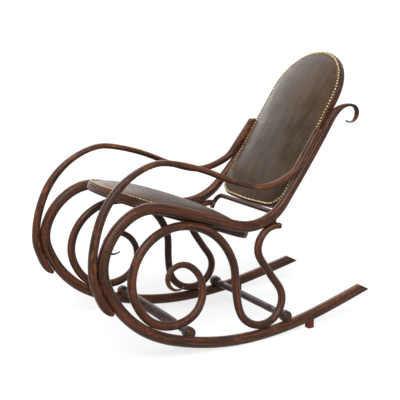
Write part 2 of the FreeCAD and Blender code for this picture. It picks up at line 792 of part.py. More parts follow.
bowHalf = size("bow_rod") / 2
tail = (size("bow_foot_back") + 8, size("bow_foot_height") + 19)
tailHalf = graded(loopTable, 1865.0)[1]
bowEnd = frameHalf(*tail) - tailHalf - bowHalf - 2 * size("frame_fit")
bowFoot = worldPoint(0, size("bow_foot_back"), size("bow_foot_height"))
bowAngle = size("bow_tilt")
bow = doc.addObject("PartDesign::Body", "bow")
bowPath = bow.newObject("Sketcher::SketchObject", "bow_path")
bowPlane = [part for part in bow.Origin.OriginFeatures if part.Role == "XZ_Plane"][0]
bowPath.AttachmentSupport = (bowPlane, [""])
bowPath.MapMode = "FlatFace"
drop, corner = size("bow_drop"), size("bow_corner")
low, high = FreeCAD.Vector(-bowEnd, 0, 0), FreeCAD.Vector(-bowEnd, drop - corner, 0)
turnSpot = corner * (1 - math.sqrt(0.5))
bowPath.addGeometry(Part.LineSegment(low, high))
bowPath.addGeometry(Part.Arc(high, FreeCAD.Vector(-bowEnd + turnSpot, drop - turnSpot, 0),
                             FreeCAD.Vector(-bowEnd + corner, drop, 0)))
bowPath.addGeometry(Part.LineSegment(FreeCAD.Vector(-bowEnd + corner, drop, 0),
                                     FreeCAD.Vector(bowEnd - corner, drop, 0)))
bowPath.addGeometry(Part.Arc(FreeCAD.Vector(bowEnd - corner, drop, 0),
                             FreeCAD.Vector(bowEnd - turnSpot, drop - turnSpot, 0),
                             FreeCAD.Vector(bowEnd, drop - corner, 0)))
bowPath.addGeometry(Part.LineSegment(FreeCAD.Vector(bowEnd, drop - corner, 0),
                                     FreeCAD.Vector(bowEnd, 0, 0)))
bowRing = bow.newObject("Sketcher::SketchObject", "bow_section")
ringPlane = [part for part in bow.Origin.OriginFeatures if part.Role == "XY_Plane"][0]
bowRing.AttachmentSupport = (ringPlane, [""])
bowRing.MapMode = "FlatFace"
bowRing.addGeometry(Part.Circle(FreeCAD.Vector(-bowEnd, 0, 0), FreeCAD.Vector(0, 0, 1), bowHalf))
doc.recompute()
bowPipe = bow.newObject("PartDesign::AdditivePipe", "bow_pipe")
bowPipe.Profile = bowRing
bowPipe.Spine = bowPath
doc.recompute()
bow.Placement = FreeCAD.Placement(bowFoot, FreeCAD.Rotation(FreeCAD.Vector(1, 0, 0), -bowAngle))
bowScrewLength = 2 * bowHalf + 1.2 * tailHalf
rise = FreeCAD.Vector(0, math.sin(math.radians(bowAngle)), math.cos(math.radians(bowAngle))) * 21.0
bowPlaces = [(bowFoot + rise + FreeCAD.Vector(bowEnd - bowHalf + 0.9, 0, 0), FreeCAD.Vector(1, 0, 0))]
bowScrews, bowBores = screwsAt(bowPlaces, bowScrewLength)
bored("lower_bow", bow, bothSides(bowBores))

# stretchers: turned knobs let down over the runners


def runnerHeight(back):
    return nearest((back, -40.0), sidePath)[1][1]


knob = size("stretcher_knob") / 2
saddleTable = [(along, deep + 0.1, wide + 0.1, fullness) for along, deep, wide, fullness in sideTable]
saddle = bentRod(sidePath[:260], postFlare, saddleTable)
saddles = [saddle, saddle.mirror(FreeCAD.Vector(0, 0, 0), FreeCAD.Vector(1, 0, 0))]


def stretcher(back, middleHigh, middleDeep, fullness, endRod, collar, tilt):
    """A cross bar, full in the middle, necked at each end before a barrel-shaped knob."""
    height = runnerHeight(back) + size("stretcher_rise")
    half = frameHalf(back, height) + size("stretcher_overhang")
    neck = 0.29 * size("stretcher_knob")
    high = FreeCAD.Vector(0, math.sin(tilt), math.cos(tilt))
    deep = FreeCAD.Vector(0, math.cos(tilt), -math.sin(tilt))
    shapes = [(0.0, middleHigh, middleDeep, fullness), (0.25 * half, middleHigh, middleDeep, fullness),
              (0.45 * half, 0.96 * middleHigh, 0.98 * middleDeep, fullness),
              (half - 100, 0.5 * (endRod + middleHigh), 0.5 * (endRod + middleDeep),
               0.5 * (fullness + plain)),
              (half - 80, endRod, endRod, plain), (half - 64, collar, collar, plain),
              (half - 52, neck, neck, plain), (half - 43, neck, neck, plain),
              (half - 35, 0.8 * knob, 0.8 * knob, plain), (half - 27, 0.97 * knob, 0.97 * knob, plain),
              (half - 12, knob, knob, plain), (half - 4, 0.93 * knob, 0.93 * knob, plain),
              (half, 0.72 * knob, 0.72 * knob, plain)]
    stations = [(-across, a, b, p) for across, a, b, p in reversed(shapes[1:])] + shapes
    sections = []
    for across, halfHigh, halfDeep, round_ in stations:
        sections.append((worldPoint(across, back, height), high, deep, halfHigh, halfDeep, round_))
    solid = skinned(sections, [station[0] for station in stations], 40)
    bar = solid.cut(Part.makeCompound(saddles))
    largest = max(bar.Solids, key=lambda one: one.Volume)
    runner = frameHalf(back, runnerHeight(back))
    head = worldPoint(runner, back, height + knob - 1.2)
    length = 2 * knob + 0.9 * sideRadius - 4
    found, holes = screwsAt([(head, FreeCAD.Vector(0, 0, -1))], length)
    return largest, found, holes


frontHigh, frontDeep = size("front_stretcher_height") / 2, size("front_stretcher_depth") / 2
frontBar, frontScrews, frontBores = stretcher(size("front_stretcher_back"), frontHigh, frontDeep, 0.82,
                                              10.5, 10.8, math.radians(size("front_stretcher_tilt")))
rearRod = size("rear_stretcher_rod") / 2
rearBar, rearScrews, rearBores = stretcher(size("rear_stretcher_back"), rearRod, rearRod, plain,
                                           0.98 * rearRod, 1.12 * rearRod, 0.0)
feature("front_stretcher", frontBar.cut(Part.makeCompound(bothSides(frontBores))))
feature("rear_stretcher", rearBar.cut(Part.makeCompound(bothSides(rearBores))))

# rear stops under the runners

stopBack = size("stop_back")
stopAcross = frameHalf(stopBack, runnerHeight(stopBack))
stopTop = runnerHeight(stopBack) + floorHeight - 2
stopCorner = FreeCAD.Vector(stopAcross - size("stop_width") / 2,
                            stopBack + shift - size("stop_length") / 2, size("stop_floor_gap"))
stopBox = Part.makeBox(size("stop_width"), size("stop_length"), stopTop - size("stop_floor_gap"), stopCorner)
corners = [edge for edge in stopBox.Edges if abs(edge.BoundBox.ZMax - edge.BoundBox.ZMin) > 1]
stopBlock = stopBox.makeFillet(3.0, corners).cut(saddle)
stopBlock = min(stopBlock.Solids, key=lambda one: one.BoundBox.ZMin)
stopHead = worldPoint(stopAcross, stopBack, 0)
stopHead.z = size("stop_floor_gap") + 1.5
stopLength = runnerHeight(stopBack) + floorHeight - stopHead.z
stopScrews, stopBores = screwsAt([(stopHead, FreeCAD.Vector(0, 0, 1))], stopLength)
leftStop = feature("rear_stop_left", stopBlock.cut(Part.makeCompound(stopBores)))
mirrored(leftStop, "rear_stop_right")

# the bored rods and their screws, left and mirrored to the right

sideBores = loopBores + endBores + armBores + seatBores + backBores + frontBores + rearBores + stopBores
leftSide = feature("side_member_left", sideRod.cut(Part.makeCompound(sideBores)))
leftLoop = feature("scroll_loop_left", loopRod.cut(Part.makeCompound(loopBores + endBores + bowBores)))
leftArm = feature("arm_left", armRod.cut(Part.makeCompound(armBores)))
mirrored(leftSide, "side_member_right")
mirrored(leftLoop, "scroll_loop_right")
mirrored(leftArm, "arm_right")
for name, screws in (("loop_screws", loopScrews + endScrews), ("arm_screws", armScrews),
                     ("seat_screws", seatScrews), ("back_screws", backScrews), ("bow_screws", bowScrews),
                     ("stretcher_screws", frontScrews + rearScrews), ("stop_screws", stopScrews)):
    leftScrews = feature(name + "_left", Part.makeCompound(screws))
    mirrored(leftScrews, name + "_right")

doc.recompute()
faults = []
for thing in doc.Objects:
    if "Invalid" in thing.State or "Error" in thing.State:
        faults.append(thing.Label + " " + str(thing.State))
for name, thing in pieces.items():
    if thing.Shape.isNull() or not thing.Shape.isValid():
        faults.append(name + " has a broken shape")
if faults:
    raise RuntimeError("; ".join(faults))

os.makedirs("parts", exist_ok=True)
box = FreeCAD.BoundBox()
for name, thing in pieces.items():
    thing.Shape.exportStep("parts/" + name + ".step")
    box.add(thing.Shape.BoundBox)
    print("%-24s %2d solids %9.1f cm3" % (name, len(thing.Shape.Solids), thing.Shape.Volume / 1000))
print("box %.1f x %.1f x %.1f mm" % (box.XLength, box.YLength, box.ZLength))
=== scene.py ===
import bmesh
import bpy
import math
from mathutils import Matrix, Vector, kdtree


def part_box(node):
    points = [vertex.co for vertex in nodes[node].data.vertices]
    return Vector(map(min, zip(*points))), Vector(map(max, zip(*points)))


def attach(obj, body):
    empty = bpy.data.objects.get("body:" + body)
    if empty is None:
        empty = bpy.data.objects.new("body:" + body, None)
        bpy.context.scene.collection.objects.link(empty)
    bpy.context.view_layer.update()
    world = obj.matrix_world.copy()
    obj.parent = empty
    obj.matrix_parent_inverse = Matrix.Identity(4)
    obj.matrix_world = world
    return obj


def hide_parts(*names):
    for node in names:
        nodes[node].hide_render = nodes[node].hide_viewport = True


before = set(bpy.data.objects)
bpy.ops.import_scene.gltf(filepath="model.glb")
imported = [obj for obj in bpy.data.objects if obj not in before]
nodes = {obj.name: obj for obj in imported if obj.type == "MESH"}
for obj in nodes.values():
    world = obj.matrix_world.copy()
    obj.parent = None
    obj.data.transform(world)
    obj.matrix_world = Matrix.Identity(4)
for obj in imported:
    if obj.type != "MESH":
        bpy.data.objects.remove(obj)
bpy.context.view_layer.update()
mm = 0.001

# where the CAD has the side frames
chairFrame = {
    "halfWidth": 211 * mm,      # half the distance between the side frames, at widthHeight
    "toeIn": math.tan(math.radians(2.4)),
    "lean": math.tan(math.radians(3.63)),
    "widthHeight": 409 * mm,
    "originBack": -29 * mm,
    "floorHeight": 16.85 * mm,  # the rods' centre line over the floor where the chair stands
}


def sideHalf(back, height):
    return (chairFrame["halfWidth"] - chairFrame["toeIn"] * back
            - chairFrame["lean"] * (height - chairFrame["widthHeight"]))


def inChair(across, back, height):
    return Vector((across, back + chairFrame["originBack"], height + chairFrame["floorHeight"]))


def colour(hexValue):
    parts = [int(hexValue[i:i + 2], 16) / 255 for i in (1, 3, 5)]
    return tuple(p / 12.92 if p <= 0.04045 else ((p + 0.055) / 1.055) ** 2.4 for p in parts) + (1,)


def addNode(tree, kind, settings=None, inputs=None, stops=()):
    made = tree.nodes.new(kind)
    for name, value in (settings or {}).items():
        setattr(made, name, value)
    for name, value in (inputs or {}).items():
        if isinstance(value, bpy.types.NodeSocket):
            tree.links.new(value, made.inputs[name])
        else:
            made.inputs[name].default_value = value
    for place, (position, shade) in enumerate(stops):  # a new ramp has two stops already
        if place > 1:
            made.color_ramp.elements.new(position)
        stop = made.color_ramp.elements[place]
        stop.position = position
        stop.color = shade if isinstance(shade, tuple) else (shade, shade, shade, 1)
    return made


def newMaterial(name):
    material = bpy.data.materials.new(name)
    material.use_nodes = True
    tree = material.node_tree
    tree.nodes.clear()
    output = addNode(tree, "ShaderNodeOutputMaterial")
    shader = addNode(tree, "ShaderNodeBsdfPrincipled")
    tree.links.new(shader.outputs[0], output.inputs[0])
    return material, tree, shader


# Steam-bent beech, stained red-brown and polished with shellac: long dark streaks along the
# bend, orange where hands and feet have rubbed it, small orange chips, a soft shine.
shellac = {
    "dark": "#170e09", "body": "#46291d", "warm": "#77442a", "worn": "#a8653a", "chip": "#bd6b38",
    "streakLength": 150 * mm, "streakWidth": 6 * mm,
    "wearLength": 45 * mm, "wearWidth": 16 * mm,
    "poreLength": 16 * mm, "poreWidth": 1.1 * mm,  # coarser than real pores, so that they show
    "chipLength": 5 * mm, "chipWidth": 3.5 * mm,
}


def bentBeech(name, rubbed, body=shellac["body"], warm=shellac["warm"]):
    material, tree, shader = newMaterial(name)
    grain = addNode(tree, "ShaderNodeAttribute", {"attribute_name": "grain"}).outputs["Vector"]
    patterns = []
    for feature, detail, shift in (("streak", 4, 0.0), ("wear", 5, 3.7), ("pore", 2, 8.1), ("chip", 1, 5.3)):
        along, across = 1 / shellac[feature + "Length"], 1 / shellac[feature + "Width"]
        placed = addNode(tree, "ShaderNodeMapping", inputs={
            "Vector": grain, "Location": (shift, shift, shift), "Scale": (along, across, across)})
        patterns.append(addNode(tree, "ShaderNodeTexNoise", inputs={
            "Vector": placed.outputs[0], "Scale": 1.0, "Detail": detail, "Roughness": 0.62}).outputs["Fac"])
    streaks, wear, pores, chips = patterns
    wood = addNode(tree, "ShaderNodeValToRGB", inputs={"Fac": streaks}, stops=[
        (0.32, colour(shellac["dark"])), (0.48, colour(body)), (0.66, colour(warm))]).outputs[0]
    worn = addNode(tree, "ShaderNodeValToRGB", inputs={"Fac": wear}, stops=[
        (0.60 - rubbed, 0.0), (0.80 - rubbed, 0.75)]).outputs[0]
    wood = addNode(tree, "ShaderNodeMix", {"data_type": "RGBA"}, {
        0: worn, 6: wood, 7: colour(shellac["worn"])}).outputs[2]
    lines = addNode(tree, "ShaderNodeValToRGB", inputs={"Fac": pores}, stops=[
        (0.38, 0.4), (0.52, 1.0)]).outputs[0]
    wood = addNode(tree, "ShaderNodeMix", {"data_type": "RGBA", "blend_type": "MULTIPLY"}, {
        0: 0.38, 6: wood, 7: lines}).outputs[2]
    chipped = addNode(tree, "ShaderNodeValToRGB", inputs={"Fac": chips}, stops=[
        (0.66, 0.0), (0.70, 0.9)]).outputs[0]
    handled = addNode(tree, "ShaderNodeValToRGB", inputs={"Fac": wear}, stops=[
        (0.46, 0.0), (0.56, 1.0)]).outputs[0]
    shown = addNode(tree, "ShaderNodeMath", {"operation": "MULTIPLY"}, {0: chipped, 1: handled}).outputs[0]
    wood = addNode(tree, "ShaderNodeMix", {"data_type": "RGBA"}, {
        0: shown, 6: wood, 7: colour(shellac["chip"])}).outputs[2]
    tree.links.new(wood, shader.inputs["Base Color"])
    gloss = addNode(tree, "ShaderNodeValToRGB", inputs={"Fac": wear}, stops=[(0.35, 0.36), (0.75, 0.52)])
    tree.links.new(gloss.outputs[0], shader.inputs["Roughness"])
    shader.inputs["Specular IOR Level"].default_value = 0.2
    shader.inputs["Coat Weight"].default_value = 0.05
    shader.inputs["Coat Roughness"].default_value = 0.3
    fine = addNode(tree, "ShaderNodeBump", inputs={
        "Strength": 0.3, "Distance": 0.3 * mm, "Height": pores}).outputs[0]
    dented = addNode(tree, "ShaderNodeBump", inputs={
        "Strength": 0.4, "Distance": 1.0 * mm, "Height": wear, "Normal": fine}).outputs[0]
    tree.links.new(dented, shader.inputs["Normal"])
    return material


# Vegetable-tanned cowhide, dyed dark grey-brown: fine pebbled grain, streaks along the panel, a dull
# pale shine where light grazes it, patches rubbed orange-brown, small folds between the nails,
# and painted shade that darkens it towards the nailed edge.
hide = {
    "dark": "#352b21", "body": "#493e32", "pale": "#5b5042", "warm": "#664631", "rubbed": "#8a5630",
    "pebble": 1.8 * mm,  # twice the real grain, so that it shows
    "cloud": 80 * mm, "streakWidth": 22 * mm, "streakLength": 170 * mm, "crease": 30 * mm,
    "foldReach": 18 * mm, "rubReach": 42 * mm, "thickness": 2.2 * mm,
}


def cowhide(name, rubbedRim=0.0, warmSpot=None, warmReach=0.12):
    material, tree, shader = newMaterial(name)
    place = addNode(tree, "ShaderNodeTexCoord").outputs["Object"]
    flat = addNode(tree, "ShaderNodeAttribute", {"attribute_name": "flat"}).outputs["Vector"]
    rim = addNode(tree, "ShaderNodeAttribute", {"attribute_name": "rim"}).outputs["Vector"]
    nailTurn, edgeGap, hold = addNode(tree, "ShaderNodeSeparateXYZ", inputs={0: rim}).outputs
    lengthwise = addNode(tree, "ShaderNodeMapping", inputs={
        "Vector": flat, "Scale": (1 / hide["streakWidth"], 1 / hide["streakLength"], 1)}).outputs[0]
    streak = addNode(tree, "ShaderNodeTexNoise", inputs={
        "Vector": lengthwise, "Scale": 1.0, "Detail": 5, "Roughness": 0.6, "Distortion": 0.5}).outputs["Fac"]
    cloud = addNode(tree, "ShaderNodeTexNoise", inputs={
        "Vector": place, "Scale": 1 / hide["cloud"], "Detail": 6, "Roughness": 0.62}).outputs["Fac"]
    crease = addNode(tree, "ShaderNodeTexNoise", inputs={
        "Vector": place, "Scale": 1 / hide["crease"], "Detail": 3, "Distortion": 1.2}).outputs["Fac"]
    pebble = addNode(tree, "ShaderNodeTexVoronoi", {"feature": "SMOOTH_F1"}, {
        "Vector": place, "Scale": 1 / hide["pebble"], "Smoothness": 0.6}).outputs["Distance"]
    skin = addNode(tree, "ShaderNodeValToRGB", inputs={"Fac": cloud}, stops=[
        (0.30, colour(hide["dark"])), (0.50, colour(hide["body"])),
        (0.72, colour(hide["pale"]))]).outputs[0]
    shade = addNode(tree, "ShaderNodeValToRGB", inputs={"Fac": streak}, stops=[(0.34, 0.72), (0.60, 1.0)])
    skin = addNode(tree, "ShaderNodeMix", {"data_type": "RGBA", "blend_type": "MULTIPLY"}, {
        0: 1.0, 6: skin, 7: shade.outputs[0]}).outputs[2]
    warmed = addNode(tree, "ShaderNodeValToRGB", inputs={"Fac": streak}, stops=[
        (0.42, 0.0), (0.66, 0.35)]).outputs[0]
    skin = addNode(tree, "ShaderNodeMix", {"data_type": "RGBA"}, {
        0: warmed, 6: skin, 7: colour(hide["warm"])}).outputs[2]
    if warmSpot is not None:
        away = addNode(tree, "ShaderNodeVectorMath", {"operation": "DISTANCE"}, {0: place, 1: warmSpot})
        near = addNode(tree, "ShaderNodeMapRange", inputs={
            0: away.outputs["Value"], 1: 0.1 * warmReach, 2: warmReach, 3: 0.6, 4: 0.0}).outputs[0]
        skin = addNode(tree, "ShaderNodeMix", {"data_type": "RGBA"}, {
            0: near, 6: skin, 7: colour(hide["warm"])}).outputs[2]
    rubbing = addNode(tree, "ShaderNodeMapRange", inputs={
        0: edgeGap, 1: 0.3 * hide["rubReach"], 2: hide["rubReach"], 3: rubbedRim, 4: 0.0}).outputs[0]
    patches = addNode(tree, "ShaderNodeValToRGB", inputs={"Fac": crease}, stops=[(0.40, 0.1), (0.60, 1.0)])
    rubbed = addNode(tree, "ShaderNodeMath", {"operation": "MULTIPLY"}, {
        0: rubbing, 1: patches.outputs[0]}).outputs[0]
    skin = addNode(tree, "ShaderNodeMix", {"data_type": "RGBA"}, {
        0: rubbed, 6: skin, 7: colour(hide["rubbed"])}).outputs[2]
    inwards = addNode(tree, "ShaderNodeMapRange", inputs={
        0: edgeGap, 1: 0.0, 2: hide["foldReach"], 3: 0.0, 4: 1.0}).outputs[0]
    # painted shade: the leather is darkened towards the nailed edge, in the crease where it dips down to the
    # rim
    rimShade = addNode(tree, "ShaderNodeValToRGB", inputs={"Fac": inwards}, stops=[(0.2, 0.6), (1.0, 1.0)])
    skin = addNode(tree, "ShaderNodeMix", {"data_type": "RGBA", "blend_type": "MULTIPLY"}, {
        0: 1.0, 6: skin, 7: rimShade.outputs[0]}).outputs[2]
    tree.links.new(skin, shader.inputs["Base Color"])
    gloss = addNode(tree, "ShaderNodeValToRGB", inputs={"Fac": crease}, stops=[(0.3, 0.36), (0.7, 0.48)])
    tree.links.new(gloss.outputs[0], shader.inputs["Roughness"])
    shader.inputs["Specular IOR Level"].default_value = 0.15
    shader.inputs["Sheen Weight"].default_value = 0.05
    shader.inputs["Sheen Roughness"].default_value = 0.4
    folds = addNode(tree, "ShaderNodeMath", {"operation": "COSINE"}, {0: nailTurn}).outputs[0]
    held = addNode(tree, "ShaderNodeMath", {"operation": "MULTIPLY"}, {0: folds, 1: hold}).outputs[0]
    fading = addNode(tree, "ShaderNodeMapRange", inputs={
        0: inwards, 1: 0.1, 2: 1.0, 3: -1.0, 4: 0.0}).outputs[0]
    lifted = addNode(tree, "ShaderNodeMath", {"operation": "MULTIPLY"}, {0: held, 1: fading}).outputs[0]
    surface = addNode(tree, "ShaderNodeBump", inputs={
        "Strength": 0.2, "Distance": 0.2 * mm, "Height": pebble}).outputs[0]
    surface = addNode(tree, "ShaderNodeBump", inputs={
        "Strength": 0.3, "Distance": 1.5 * mm, "Height": crease, "Normal": surface}).outputs[0]
    surface = addNode(tree, "ShaderNodeBump", inputs={
        "Strength": 0.6, "Distance": 0.7 * mm, "Height": lifted, "Normal": surface}).outputs[0]
    tree.links.new(surface, shader.inputs["Normal"])
    return material


# Small metal parts, stained in patches: the stains are duller than the clean metal.
def oldMetal(name, stained, clean, bright, stainSize, dull, smooth):
    material, tree, shader = newMaterial(name)
    place = addNode(tree, "ShaderNodeTexCoord").outputs["Object"]
    stain = addNode(tree, "ShaderNodeTexNoise", inputs={
        "Vector": place, "Scale": 1 / stainSize, "Detail": 4, "Roughness": 0.7}).outputs["Fac"]
    tint = addNode(tree, "ShaderNodeValToRGB", inputs={"Fac": stain}, stops=[
        (0.32, colour(stained)), (0.48, colour(clean)), (0.70, colour(bright))])
    tree.links.new(tint.outputs[0], shader.inputs["Base Color"])
    gloss = addNode(tree, "ShaderNodeValToRGB", inputs={"Fac": stain}, stops=[(0.3, dull), (0.65, smooth)])
    tree.links.new(gloss.outputs[0], shader.inputs["Roughness"])
    shader.inputs["Metallic"].default_value = 1.0
    return material


# Plain-woven cloth: crossing threads, dusty in places.
def wovenCloth(name, dark, light, thread):
    material, tree, shader = newMaterial(name)
    flat = addNode(tree, "ShaderNodeAttribute", {"attribute_name": "flat"}).outputs["Vector"]
    threads = []
    for axis in ("X", "Y"):
        threads.append(addNode(tree, "ShaderNodeTexWave", {"bands_direction": axis}, {
            "Vector": flat, "Scale": 0.314 / thread, "Distortion": 1.2, "Detail": 1.0,
            "Detail Scale": 2.0}).outputs["Fac"])
    weave = addNode(tree, "ShaderNodeMath", {"operation": "MULTIPLY"}, {
        0: threads[0], 1: threads[1]}).outputs[0]
    soil = addNode(tree, "ShaderNodeTexNoise", inputs={
        "Vector": flat, "Scale": 1 / (60 * mm), "Detail": 5}).outputs["Fac"]
    yarn = addNode(tree, "ShaderNodeValToRGB", inputs={"Fac": weave}, stops=[
        (0.0, colour(dark)), (0.8, colour(light))]).outputs[0]
    dust = addNode(tree, "ShaderNodeValToRGB", inputs={"Fac": soil}, stops=[
        (0.3, 0.7), (0.7, 1.0)]).outputs[0]
    tint = addNode(tree, "ShaderNodeMix", {"data_type": "RGBA", "blend_type": "MULTIPLY"}, {
        0: 1.0, 6: yarn, 7: dust}).outputs[2]
    tree.links.new(tint, shader.inputs["Base Color"])
    shader.inputs["Roughness"].default_value = 0.9
    raised = addNode(tree, "ShaderNodeBump", inputs={"Strength": 0.5, "Distance": 0.3 * mm, "Height": weave})
    tree.links.new(raised.outputs[0], shader.inputs["Normal"])
    return material


# Curled horsehair pressed into a pad: a tangle of dark and light threads.
def curledHair(name):
    material, tree, shader = newMaterial(name)
    place = addNode(tree, "ShaderNodeTexCoord").outputs["Object"]
    tangle = addNode(tree, "ShaderNodeTexNoise", inputs={
        "Vector": place, "Scale": 1 / (4 * mm), "Detail": 8, "Roughness": 0.75,
        "Distortion": 4.0}).outputs["Fac"]
    tint = addNode(tree, "ShaderNodeValToRGB", inputs={"Fac": tangle}, stops=[
        (0.35, colour("#1b120c")), (0.6, colour("#5c4632"))])
    tree.links.new(tint.outputs[0], shader.inputs["Base Color"])
    shader.inputs["Roughness"].default_value = 0.85
    raised = addNode(tree, "ShaderNodeBump", inputs={"Strength": 0.9, "Distance": 1.5 * mm, "Height": tangle})
    tree.links.new(raised.outputs[0], shader.inputs["Normal"])
    return material


polishedBeech = bentBeech("polished_bent_beech", 0.0)
handledBeech = bentBeech("handled_bent_beech", 0.08)
redBeech = bentBeech("red_stained_beech", 0.0, "#6b2318", "#8d3020")
darkBeech = bentBeech("dark_turned_beech", -0.06, "#33231b", "#553c2d")
agedBrass = oldMetal("aged_brass", "#6f5a3c", "#a89268", "#d2c298", 9 * mm, 0.45, 0.3)
dullSteel = oldMetal("dull_steel", "#3b302a", "#77706a", "#8f8a84", 3 * mm, 0.65, 0.35)
jute = wovenCloth("woven_jute", "#4c3a22", "#a58a5d", 2.2 * mm)
hessian = wovenCloth("woven_hessian", "#54432a", "#a8906a", 1.6 * mm)
blackCotton = wovenCloth("black_cotton", "#0f0e0d", "#2c2926", 1.2 * mm)
horsehair = curledHair("curled_horsehair")
print("materials made")


def showMesh(work, name, material):
    mesh = bpy.data.meshes.new(name)
    work.to_mesh(mesh)
    work.free()
    piece = bpy.data.objects.new(name, mesh)
    bpy.context.scene.collection.objects.link(piece)
    if material is not None:
        mesh.materials.append(material)
    return piece


# bent rods: smooth copies of the CAD pieces that carry their grain along the bend
def carryGrain(piece, path, planeNormal):
    tree = kdtree.KDTree(len(path))
    along = [0.0]
    for place, point in enumerate(path):
        tree.insert(point, place)
        if place:
            along.append(along[-1] + (point - path[place - 1]).length)
    tree.balance()
    layer = piece.data.attributes.new("grain", "FLOAT_VECTOR", "POINT")
    last = len(path) - 1
    for vertex, store in zip(piece.data.vertices, layer.data):
        point, place = tree.find(vertex.co)[:2]
        ahead = (path[min(place + 1, last)] - path[max(place - 1, 0)]).normalized()
        side = planeNormal.cross(ahead).normalized()
        offset = vertex.co - point
        store.vector = (along[place] + offset.dot(ahead), offset.dot(side), offset.dot(planeNormal))


def woodPiece(nodeName, path, planeNormal, material, sharpAngle=38):
    work = bmesh.new()
    work.from_mesh(nodes[nodeName].data)
    bmesh.ops.remove_doubles(work, verts=work.verts, dist=1e-6)
    for face in work.faces:
        face.smooth = True
    for edge in work.edges:
        if len(edge.link_faces) == 2:
            edge.smooth = edge.calc_face_angle(0.0) < math.radians(sharpAngle)
    piece = showMesh(work, nodeName + "_wood", material)
    carryGrain(piece, path, planeNormal)
    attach(piece, "root")
    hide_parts(nodeName)


# each rod: where it starts (back, height), its heading, then lengths and the angles turned
rods = {
    "side_member": ((560.8, 92.4, -164.5),
                    [(241, -2.5), (255, -11.5), (315, -20.5), (70, -9.5), (235, -42.5), (70, -33.5),
                     (165, -51.5), (70, -32.5), (95, -10.5), (200, 1.0), (210, 67.0), (325, 8.5),
                     (100, -71.0), (99, -201.9)]),
    "scroll_loop": ((-188.0, 204.6, -143.7),
                    [(112, -181.3), (65, -66.0), (190, -117.5), (200, -90.5), (110, -40.0), (205, -75.0),
                     (225, -62.0), (100, -35.0), (105, 14.5), (150, 95.0), (145, 108.0), (115, -3.0),
                     (167, -138.0)]),
    "arm": ((-436.0, 158.5, 128.6),
            [(189, -48.1), (95, -12.5), (230, -52.0), (65, -26.0), (190, -15.0), (115, 9.5), (210, 61.0),
             (145, 21.2)]),
}


def bentPath(start, bends, side, step=3.0):
    back, height, heading = start[0], start[1], math.radians(start[2])
    path = []
    for run, turn in bends:
        cuts = int(math.ceil(run / step))
        for cut in range(cuts):
            direction = heading + math.radians(turn) * (cut + 0.5) / cuts
            back += run / cuts * math.cos(direction)
            height += run / cuts * math.sin(direction)
            path.append(inChair(side * sideHalf(back * mm, height * mm), back * mm, height * mm))
        heading += math.radians(turn)
    return path


for side, word in ((1, "left"), (-1, "right")):
    frameNormal = Vector((side, chairFrame["toeIn"], chairFrame["lean"])).normalized()
    for rod, (start, bends) in rods.items():
        finish = handledBeech if rod == "arm" else polishedBeech
        woodPiece(rod + "_" + word, bentPath(start, bends, side), frameNormal, finish)
    low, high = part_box("rear_stop_" + word)
    middle = (low + high) / 2
    woodPiece("rear_stop_" + word, [middle + Vector((0, 0.002 * step, 0)) for step in range(-12, 13)],
              Vector((0, 0, 1)), redBeech)
for nodeName in ("front_stretcher", "rear_stretcher"):
    low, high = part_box(nodeName)
    middle = (low + high) / 2
    middleLine = [Vector((low.x + (high.x - low.x) * step / 160, middle.y, middle.z)) for step in range(161)]
    woodPiece(nodeName, middleLine, Vector((0, 0, 1)), darkBeech)
print("rods and stretchers made")


# the seat and back hoops, each in its own tilted plane: outline corners are (across, along, radius)
hoops = {
    "seat": {
        "start": inChair(0, -384 * mm, 472.4 * mm), "tilt": -20.15, "middle": 256 * mm,
        "width": 38 * mm, "high": 27 * mm, "base": 27 * mm, "crown": 36 * mm, "crossings": 5, "uprights": 4,
        "corners": [(0, 0, 300), (203.28, 45, 165), (193.11, 502, 75), (0, 512, 420),
                    (-193.11, 502, 75), (-203.28, 45, 165)],
    },
    "back": {
        "start": inChair(0, 178.3 * mm, 385 * mm), "tilt": 57.85, "middle": 297.5 * mm,
        "width": 32 * mm, "high": 26 * mm, "base": 0.0, "crown": 27 * mm, "crossings": 5, "uprights": 3,
        "corners": [(0, 4, 500), (184.99, 12, 72), (172.79, 591, 169.33), (-172.79, 591, 169.33),
                    (-184.99, 12, 72)],
    },
}
for hoop in hoops.values():
    hoop["placing"] = (Matrix.Translation(hoop["start"])
                       @ Matrix.Rotation(math.radians(hoop["tilt"]), 4, "X"))


# the hoop's outline moved inwards, from the middle of its foot and counterclockwise
def outline(hoop, inset, spacing=2.0):
    corners = [Vector(corner) for corner in hoop["corners"]]
    points = []
    for place, corner in enumerate(corners):
        here, radius = corner.to_2d(), corner.z
        before = (corners[place - 1].to_2d() - here).normalized()
        after = (corners[(place + 1) % len(corners)].to_2d() - here).normalized()
        half = before.angle(after) / 2
        centre = here + (before + after).normalized() * (radius / math.sin(half))
        spoke = here + before * (radius / math.tan(half)) - centre
        sweep = math.pi - 2 * half
        steps = max(2, int(math.ceil(sweep * radius / spacing)))
        for step in range(steps + 1):
            arm = Matrix.Rotation(sweep * step / steps, 2) @ spoke
            points.append((centre + arm * (1 - inset / mm / radius)) * mm)
    first = min(range(len(points)), key=lambda n: abs(points[n].x) + points[n].y)
    return points[first:] + points[:first]


def spaced(points, count):
    ring = points + [points[0]]
    run = [0.0]
    for place in range(1, len(ring)):
        run.append(run[-1] + (ring[place] - ring[place - 1]).length)
    made, place = [], 0
    for step in range(count):
        goal = run[-1] * step / count
        while run[place + 1] < goal:
            place += 1
        part = (goal - run[place]) / (run[place + 1] - run[place])
        made.append(ring[place].lerp(ring[place + 1], part))
    return made


